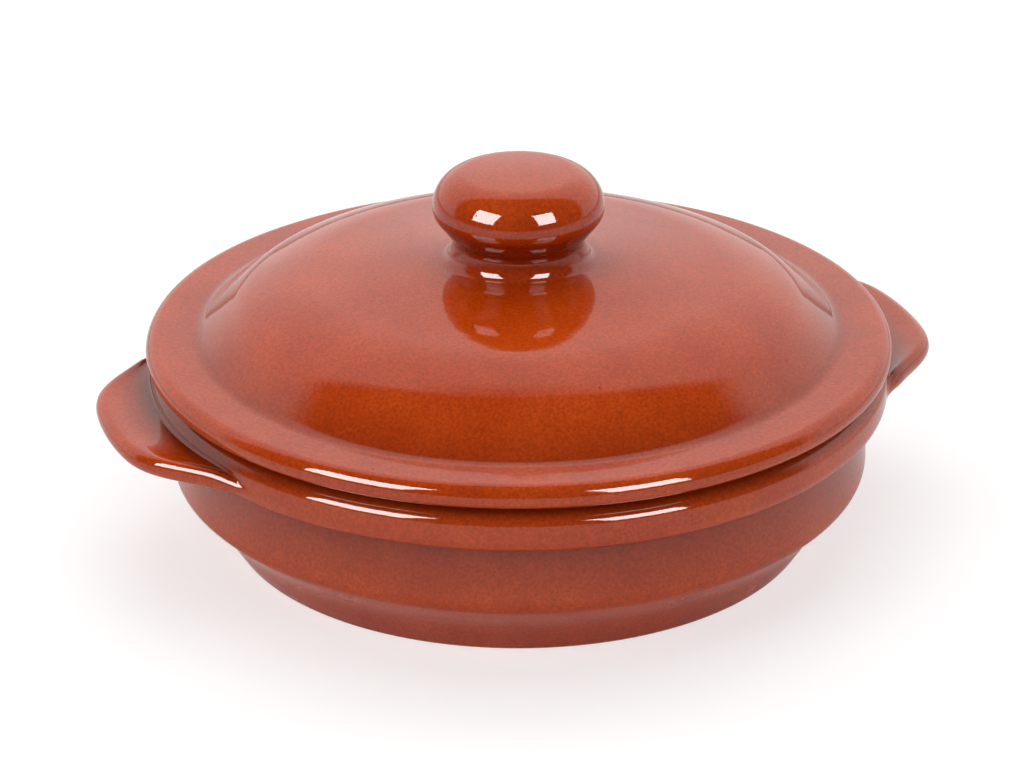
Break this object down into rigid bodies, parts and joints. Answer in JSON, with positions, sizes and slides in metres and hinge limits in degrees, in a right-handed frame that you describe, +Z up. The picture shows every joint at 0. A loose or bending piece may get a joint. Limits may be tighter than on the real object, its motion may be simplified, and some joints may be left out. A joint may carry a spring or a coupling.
{
  "type": "clay casserole",
  "caption": "Low round glazed earthenware casserole with ear handles and a loose domed lid with a knob, for oven and stove-top cooking.",
  "frame": {"origin": "centre of the foot, on the surface that the casserole stands on", "axes": "+Z up along the pot's axis, +X towards one ear and -X towards the other"},
  "size_m": [0.2084, 0.1816, 0.0921],
  "materials": {
    "glazed_clay_bowl": "red-brown earthenware under a clear honey-coloured gloss glaze",
    "glazed_clay_lid": "red-brown earthenware under a clear honey-coloured gloss glaze"
  },
  "bodies": {
    "pot": {"bowl": "glazed_clay_bowl", "handle_left": "glazed_clay_bowl", "handle_right": "glazed_clay_bowl"},
    "cover": {"lid": "glazed_clay_lid", "knob": "glazed_clay_lid"}
  },
  "joints": [
    {"name": "lid_lift", "type": "slide", "parent": "pot", "child": "cover", "axis": [0, 0, 1], "range_m": [0, 0.1]}
  ]
}
